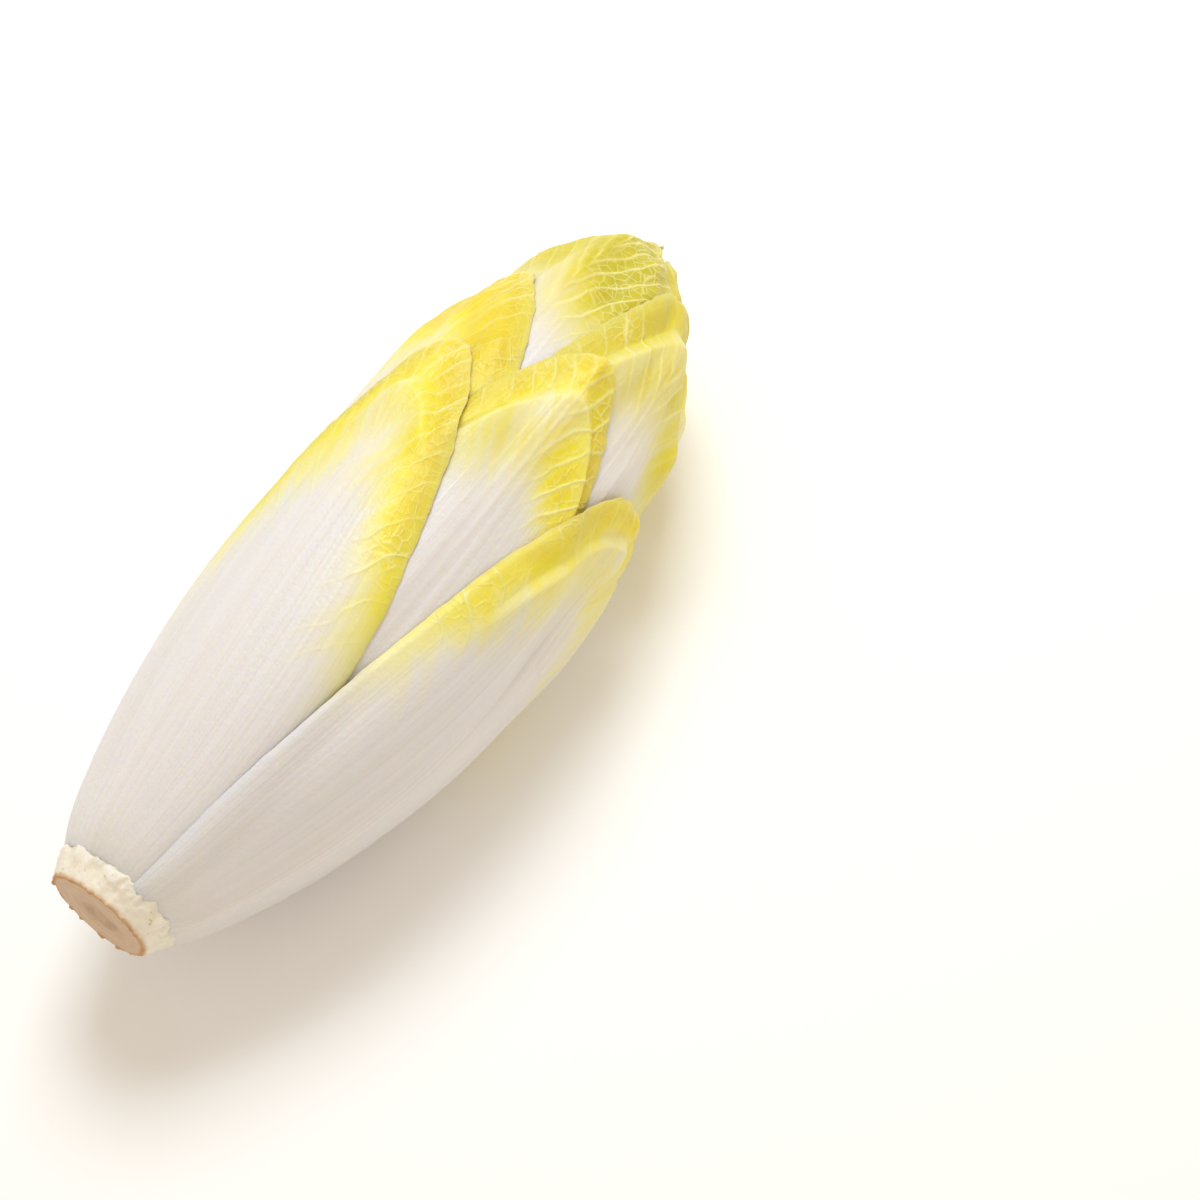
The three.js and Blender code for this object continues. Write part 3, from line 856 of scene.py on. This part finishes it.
def leaf_material(finish):
    """White flesh that turns yellow at the margin, with pale raised veins and fine streaks."""
    material, t, shader = new_material("Endive leaf")
    if t is None:
        return material
    white, yellow, vein = tuple(finish.white), tuple(finish.yellow), tuple(finish.vein)
    along, across, foot, margin, share = t.attributes("along", "across", "foot", "margin", "share")
    amount, green = t.attributes("yellow", "green")
    surface = t.vector(across, along)
    side, net = vein_pattern(t, across, along, amount, finish.vein_spacing, finish.net_cell, VEIN_SEED)

    # White through cream to yellow, in fine blotches, and greener where the leaf is.
    blotches = t.noise(surface, BLOTCH_SCALE, 4.0)
    drift = t.times(t.minus(blotches, 0.5), BLOTCH_DEPTH)
    strength = t.plus(amount, t.times(drift, amount), clamp=True)
    stops = [(0.0, white), (CREAM_AT, CREAM), (YELLOW_AT, yellow), (1.0, shaded(yellow, DEEP_YELLOW))]
    colour = ramp(t, strength, stops)
    greened = t.times(t.times(green, amount), GREENEST, clamp=True)
    colour = t.mix(greened, colour, t.mix(blotches, OLIVE, PALE_OLIVE))

    # Along the margin runs a paler band with lines of its own.
    lines = t.vector(t.times(margin, BAND_LINES), t.times(along, BAND_WAVES))
    lined = t.plus(t.noise(lines, 1.0, 2.0), 0.05)
    band = t.times(t.bell(margin, BAND_WIDTH), lined, clamp=True)
    band = t.times(band, t.times(amount, 0.6, clamp=True))
    colour = t.mix(band, colour, BAND_YELLOW)
    colour = t.mix(t.times(side, SIDE_VEIN_TINT), colour, vein)
    colour = t.mix(t.times(net, NET_TINT), colour, vein)

    # Watery streaks along the white, faint wide patches of painted shade, and a creamier foot.
    lines = t.vector(t.times(share, STREAK_COUNT), t.times(along, STREAK_WAVES))
    streaks = t.noise(lines, 1.0, 3.0)
    watery = t.times(t.above(streaks, 0.46, 1.6), t.minus(1.0, amount, clamp=True))
    colour = t.mix(watery, colour, shaded(white, WATERY_WHITE))
    wide = t.vector(t.times(share, SHADE_WAVES), t.times(along, SHADE_WAVES))
    wide = t.above(t.noise(wide, 1.0, 2.0), 0.45, 2.2)
    colour = t.mix(wide, colour, t.mix(SHADE_DEPTH, colour, SHADE_GREY))
    colour = t.mix(t.times(t.bell(foot, FOOT_LENGTH), FOOT_TINT), colour, FOOT_CREAM)

    # A few brown specks, and a margin that dries to a thin line.
    specks = t.add("ShaderNodeTexVoronoi", {"Vector": surface, "Scale": SPECK_SCALE})
    chosen = t.add("ShaderNodeSeparateColor", {"Color": specks.outputs["Color"]})
    chosen = t.math("GREATER_THAN", chosen.outputs[0], 1 - SPECK_CHANCE)
    speck = t.times(t.bell(specks.outputs["Distance"], SPECK_SIZE), chosen)
    colour = t.mix(t.times(speck, 0.7), colour, SPECK_BROWN)
    dry = t.times(t.bell(margin, DRY_WIDTH), t.times(amount, 0.8))
    colour = t.mix(dry, colour, DRY_EDGE)

    cells = t.add("ShaderNodeTexVoronoi", {"Vector": surface, "Scale": CELL_SCALE})
    fine = t.noise(surface, SKIN_SCALE, 3.0)
    skin = t.plus(t.times(cells.outputs["Distance"], 0.35), fine)
    skin = t.plus(skin, t.times(streaks, 1.2))
    skin = t.plus(skin, t.times(t.math("MAXIMUM", side, net), 0.9))
    bump = t.add("ShaderNodeBump", {"Height": skin, "Strength": 0.35, "Distance": SKIN_DEPTH})
    inputs = {
        "Base Color": colour,
        "Normal": bump,
        "Roughness": t.plus(t.times(fine, 0.16), 0.30),
        "Subsurface Weight": 0.35,
        "Subsurface Radius": (1.0, 0.72, 0.35),
        "Subsurface Scale": 0.0025,
        "Specular IOR Level": 0.4,
    }
    t.fill(shader, inputs)
    return material


# The stem. Distances in the cut face are shares of its radius.
TISSUE_SCALE, GRAIN_SCALE = 420.0, 900.0
RING_PHASE = 26.0  # of the rings, from the middle out, in radians
PITH_AT, PITH_WIDTH = 0.30, 0.13


def stem_material(finish):
    """Torn white tissue, with a tan cut face inside a brown rind."""
    material, t, shader = new_material("Endive stem")
    if t is None:
        return material
    place = t.add("ShaderNodeTexCoord").outputs["Object"]
    face, rind, ring = t.attributes("face", "rind", "ring")
    rough = t.noise(place, TISSUE_SCALE, 6.0)
    cut = tuple(finish.cut)
    grain = t.noise(place, GRAIN_SCALE, 3.0)
    rings = t.math("SINE", t.times(ring, RING_PHASE))
    rings = t.times(t.plus(rings, 1.0), 0.22)
    tan = t.mix(rings, cut, shaded(cut, DARK_RING))
    pith = t.bell(t.minus(ring, PITH_AT), PITH_WIDTH)
    tan = t.mix(t.times(pith, 0.7), tan, PITH_BROWN)
    tan = t.mix(t.times(grain, 0.6), tan, PALE_TAN)
    colour = t.mix(face, t.mix(rough, TISSUE, OLD_TISSUE), tan)
    colour = t.mix(t.times(rind, 0.85), colour, RIND_BROWN)
    speck = t.above(grain, 0.64, 9.0)
    colour = t.mix(t.times(speck, 0.6), colour, STEM_SPECK)
    bump = t.add("ShaderNodeBump", {"Height": rough, "Strength": 0.5, "Distance": 0.0005})
    inputs = {
        "Base Color": colour,
        "Normal": bump,
        "Roughness": 0.7,
        "Subsurface Weight": 0.25,
        "Subsurface Radius": (1.0, 0.7, 0.4),
        "Subsurface Scale": 0.002,
    }
    t.fill(shader, inputs)
    return material


# Operators


def lay_leaves(context, chosen):
    head = Head(context.scene.endive_head)
    finish = context.scene.endive_finish
    values = {title: getattr(finish, title.lower().replace(" ", "_")) for title in RELIEF_INPUTS}
    values |= {"Seed": VEIN_SEED, "Material": leaf_material(finish)}
    tree = bpy.data.node_groups.get("Leaf relief") or relief_tree()
    for leaf in head.leaves[chosen]:
        join_frame(relieved(leaf_mesh(head, leaf), tree, values), [leaf.node])
    return {"FINISHED"}


class EndiveOuterLeaves(bpy.types.Operator):
    """Lay on the outer leaves"""

    bl_idname = "endive.outer_leaves"
    bl_label = "Outer leaves"

    def execute(self, context):
        return lay_leaves(context, slice(len(OUTER_LEAVES)))


class EndiveInnerLeaves(bpy.types.Operator):
    """Lay on the leaves inside the head"""

    bl_idname = "endive.inner_leaves"
    bl_label = "Inner leaves"

    def execute(self, context):
        return lay_leaves(context, slice(len(OUTER_LEAVES), None))


class EndiveHeart(bpy.types.Operator):
    """Build the closed bud at the heart"""

    bl_idname = "endive.heart"
    bl_label = "Heart bud"

    FOOT, TIP = 54.5, 158
    ROUNDING = 12  # how late the bud rounds off towards its ends
    ROWS, COLUMNS = 120, 96
    CLEAR = 0.4  # between the bud and the leaves round it, in mm
    FOLDS, FOLD_TURN, FOLD_DEPTH = 3, 1.6, 0.05  # the folds turn by this many degrees for each mm
    GREEN = 0.3

    def execute(self, context):
        head = Head(context.scene.endive_head)
        up = np.linspace(0, 1, self.ROWS)[:, None]
        turn = np.linspace(0, 360, self.COLUMNS, endpoint=False)[None, :]
        s = self.FOOT + (self.TIP - self.FOOT) * (1 - np.cos(np.pi * up)) / 2
        from_middle = np.abs(2 * (s - self.FOOT) / (self.TIP - self.FOOT) - 1)
        roundness = np.sqrt(np.clip(1 - from_middle**self.ROUNDING, 0, 1))
        folds = 1 - self.FOLD_DEPTH * (1 + np.cos(np.radians(self.FOLDS * turn + self.FOLD_TURN * s)))
        radius = (head.heart_radius(s, turn) - self.CLEAR) * roundness * folds
        mesh = tube_mesh("heart_bud_folds", head.place(s + 0 * turn, turn + 0 * s, radius))
        x, y, z = np.array([v.co for v in mesh.vertices]).T
        values = {
            "across": y,
            "along": x,
            "foot": np.ones(len(x)),
            "share": z * 30,
            "margin": np.ones(len(x)),
            "yellow": 0.35 + 0.5 * smooth(0.0, 0.07, x),
            "green": np.full(len(x), self.GREEN),
        }
        for name, value in values.items():
            store(mesh, name, value)
        mesh.materials.append(leaf_material(context.scene.endive_finish))
        piece = add_object("heart_bud_folds", mesh)
        join_frame(piece, ["heart_bud"])
        return {"FINISHED"}


def tube_mesh(name, points):
    """A closed skin over rings of points, with a fan of faces over each end."""
    rows, columns = points.shape[:2]
    ends = [points[0].mean(axis=0), points[-1].mean(axis=0)]
    index = np.arange(rows * columns).reshape(rows, columns)
    after = np.roll(index, -1, axis=1)
    sides = np.stack([index[:-1], after[:-1], after[1:], index[1:]], axis=-1).reshape(-1, 4)
    first_end = np.full(columns, rows * columns)
    first_fan = np.stack([first_end, after[0], index[0]], axis=-1)
    last_fan = np.stack([first_end + 1, index[-1], after[-1]], axis=-1)
    return faceted_mesh(name, np.concatenate([points.reshape(-1, 3), ends]), [sides, first_fan, last_fan])


class EndiveStem(bpy.types.Operator):
    """Build the cut stem with its rind and rough collar"""

    bl_idname = "endive.stem"
    bl_label = "Stem"

    COLUMNS = 300
    FACE_ROWS, COLLAR_ROWS, CORE_ROWS = 40, 70, 40  # the collar's first is the face's last
    COLLAR_TOP, COLLAR_RADIUS = 5.0, 11.5
    COLLAR_WAIST = 0.35  # how far the collar is drawn in half-way up, in mm
    CORE_TOP, CORE_CLEAR = 54.0, 0.3
    CORE_START = 1.25  # where the core starts, as a share of the collar's top
    FLESHY_TO = (14, 20)  # the core swells in full up to the first distance, and not past the second
    FLESH = 1.1  # how far it swells out between the feet of the outermost leaves, in mm
    FIRST_LEAVES = 8  # how many leaves count as outermost
    RIND = 0.5  # width of the brown rind, in mm
    HOLLOW = 0.9  # depth of the hollow in the middle of the cut face, in mm
    HOLLOW_SIZE = (1.7, 4.2)  # its half-widths, up and down and from side to side
    FACE_LEVEL, FACE_WAVES = 0.12, 0.10
    FACE_CHIPS, COLLAR_CHIPS = 0.12, 0.3  # how rough the face is, and the collar at its foot

    def open_share(self, head, s, turn):
        """1 where no outermost leaf has started to cover the stem yet, and 0 where one has."""
        share = 1
        for leaf in head.leaves[: self.FIRST_LEAVES]:
            angle = np.abs(from_rib(turn, leaf.azimuth))
            width = head.half_width(leaf, s)
            covered = smooth(leaf.base - 0.5, leaf.base + 0.5, s) * (1 - smooth(width - 5, width - 1, angle))
            share = share * (1 - covered)
        return share

    def face(self, neck, x, y, share):
        """Distance along the head and radius of the cut face, from its middle outwards."""
        tall, wide = self.HOLLOW_SIZE
        s = self.FACE_LEVEL + self.FACE_WAVES * ripple(x * share / 4, y * share / 4, 6) * (1 - share)
        s = s + self.HOLLOW * np.exp(-((x * share / tall) ** 2) - (y * share / wide) ** 2)
        return s, neck * share * (1 + 0.015 * ripple(x / 5, y / 5, 5) * share)

    def collar(self, neck, x, y, up, face_s, face_r):
        """The same for the collar, from the rim of the face up."""
        ragged = 1 + 0.12 * ripple(x / 6, y / 6, 8) + 0.06 * ripple(x / 1.6, y / 1.6, 9)
        radius = face_r + (self.COLLAR_RADIUS - neck) * np.sin(np.pi / 2 * up)
        return face_s + up * self.COLLAR_TOP * ragged, radius - self.COLLAR_WAIST * np.sin(np.pi * up) ** 2

    def core(self, head, turn):
        """The same for the core inside the head, fleshy at its foot and rounded off at its top."""
        foot = self.COLLAR_TOP * self.CORE_START
        s = np.linspace(0, 1, self.CORE_ROWS)[:, None] ** 1.6
        s = foot + (self.CORE_TOP - foot) * s + 0 * turn
        heart = head.heart_radius(s, turn + 0 * s)
        least = heart.min(axis=1, keepdims=True) - self.CORE_CLEAR
        radius = least * np.sqrt(1 - (s / (self.CORE_TOP + self.CORE_CLEAR)) ** 4)
        fleshy = heart + self.FLESH * self.open_share(head, s, turn)
        return s, radius + (fleshy - radius) * (1 - smooth(*self.FLESHY_TO, s))

    def execute(self, context):
        settings = context.scene.endive_head
        head = Head(settings)
        turn = np.linspace(0, 360, self.COLUMNS, endpoint=False)[None, :]
        neck = settings.neck_radius
        x, y = np.cos(np.radians(turn)) * neck, np.sin(np.radians(turn)) * neck
        face = np.linspace(0.03, 1, self.FACE_ROWS)[:, None] ** 0.8
        up = np.linspace(0, 1, self.COLLAR_ROWS)[1:, None]
        face_s, face_r = self.face(neck, x, y, face)
        collar_s, collar_r = self.collar(neck, x, y, up, face_s[-1], face_r[-1])
        core_s, core_r = self.core(head, turn)
        s = np.concatenate([face_s, collar_s, core_s])
        radius = np.concatenate([face_r, collar_r, core_r])
        mesh = tube_mesh("stem_collar_and_core", head.place(s, turn + 0 * s, radius))

        # One value for each ring of points, and for the middle of each end.
        not_face = np.ones(len(s) - len(face))
        on_core = np.full(self.CORE_ROWS, self.COLLAR_TOP)
        from_edge = np.concatenate([(1 - face[:, 0]) * neck, up[:, 0] * self.COLLAR_TOP, on_core])
        collar_chips = self.COLLAR_CHIPS + (1 - self.COLLAR_CHIPS) * up[:, 0]
        values = {
            "face": np.concatenate([np.ones(len(face)), 0 * not_face]),
            "ring": np.concatenate([face[:, 0], not_face]),
            "rind": np.exp(-((from_edge / self.RIND) ** 2)),
            "chip": np.concatenate([np.full(len(face), self.FACE_CHIPS), collar_chips, 0 * on_core]),
        }
        for name, value in values.items():
            store(mesh, name, np.concatenate([np.repeat(value, self.COLUMNS), [value[0], value[-1]]]))
        inputs = {**STEM_RELIEF, "Seed": VEIN_SEED, "Material": stem_material(context.scene.endive_finish)}
        join_frame(relieved(mesh, stem_tree(), inputs), ["stem"])
        return {"FINISHED"}


class EndiveStage(bpy.types.Operator):
    """Add the floor, the lights and the camera"""

    bl_idname = "endive.stage"
    bl_label = "Stage"

    AIM = (0.0269, -0.0203, 0.0)
    FLOOR_SIZE, FLOOR = 40, (0.98, 0.98, 0.98, 1.0)
    SURROUND = (1.0, 0.89, 0.75, 1.0)
    # The name, place, size, share of the key's power and colour of each light.
    LIGHTS = (
        ("Key", (0.40, 0.30, 0.86), 0.45, 1.0, (0.84, 0.92, 1.0)),
        ("Fill", (0.6, -0.7, 0.5), 0.9, 0.1, (1.0, 0.9, 0.8)),
    )

    def execute(self, context):
        settings = context.scene.endive_stage
        self.add_floor()
        self.add_camera(context, settings)
        for name, place, size, share, colour in self.LIGHTS:
            self.add_light(name, place, size, settings.key * share, colour)
        world = bpy.data.worlds.new("Surround")
        context.scene.world = world
        world.use_nodes = True
        background = world.node_tree.nodes["Background"]
        background.inputs["Color"].default_value = self.SURROUND
        background.inputs["Strength"].default_value = settings.sky
        context.scene.view_settings.view_transform = "Standard"
        return {"FINISHED"}

    def add_floor(self):
        bpy.ops.mesh.primitive_plane_add(size=self.FLOOR_SIZE, location=(0, 0, 0))
        floor = bpy.context.object
        floor.name = "floor"
        material, _, shader = new_material("Floor")
        shader.inputs["Base Color"].default_value = self.FLOOR
        shader.inputs["Roughness"].default_value = 0.5
        floor.data.materials.append(material)

    def add_camera(self, context, settings):
        level = math.cos(settings.elevation)
        looking = Vector((
            level * math.sin(settings.heading),
            level * math.cos(settings.heading),
            -math.sin(settings.elevation),
        ))
        camera = bpy.data.objects.new("Camera", bpy.data.cameras.new("Camera"))
        camera.data.lens = settings.lens
        camera.data.sensor_width = 36
        camera.data.clip_start = 0.01
        camera.location = Vector(self.AIM) - looking * settings.distance
        camera.rotation_euler = looking.to_track_quat("-Z", "Y").to_euler()
        context.collection.objects.link(camera)
        context.scene.camera = camera

    def add_light(self, name, place, size, power, colour):
        light = bpy.data.lights.new(name, "AREA")
        light.size = size
        light.energy = power
        light.color = colour
        lamp = bpy.data.objects.new(name, light)
        lamp.location = place
        lamp.rotation_euler = (-Vector(place)).to_track_quat("-Z", "Y").to_euler()
        bpy.context.collection.objects.link(lamp)


class EndivePanel(bpy.types.Panel):
    """Lists the steps that build the head"""

    bl_idname = "VIEW3D_PT_endive"
    bl_label = "Endive head"
    bl_space_type = "VIEW_3D"
    bl_region_type = "UI"
    bl_category = "Endive"

    def draw(self, context):
        scene = context.scene
        for group in (scene.endive_head, scene.endive_finish, scene.endive_stage):
            for name in group.bl_rna.properties.keys():
                if name not in ("rna_type", "name"):
                    self.layout.prop(group, name)
        for operator in OPERATORS:
            self.layout.operator(operator.bl_idname)


OPERATORS = (EndiveStem, EndiveHeart, EndiveInnerLeaves, EndiveOuterLeaves, EndiveStage)
CLASSES = (HeadSettings, FinishSettings, StageSettings, *OPERATORS, EndivePanel)


def register():
    for item in CLASSES:
        bpy.utils.register_class(item)
    bpy.types.Scene.endive_head = bpy.props.PointerProperty(type=HeadSettings)
    bpy.types.Scene.endive_finish = bpy.props.PointerProperty(type=FinishSettings)
    bpy.types.Scene.endive_stage = bpy.props.PointerProperty(type=StageSettings)


def unregister():
    del bpy.types.Scene.endive_stage
    del bpy.types.Scene.endive_finish
    del bpy.types.Scene.endive_head
    for item in reversed(CLASSES):
        bpy.utils.unregister_class(item)


def main():
    register()
    bpy.ops.endive.stem()
    bpy.ops.endive.heart()
    bpy.ops.endive.inner_leaves()
    bpy.ops.endive.outer_leaves()
    bpy.ops.endive.stage()


if __name__ == "__main__":
    main()
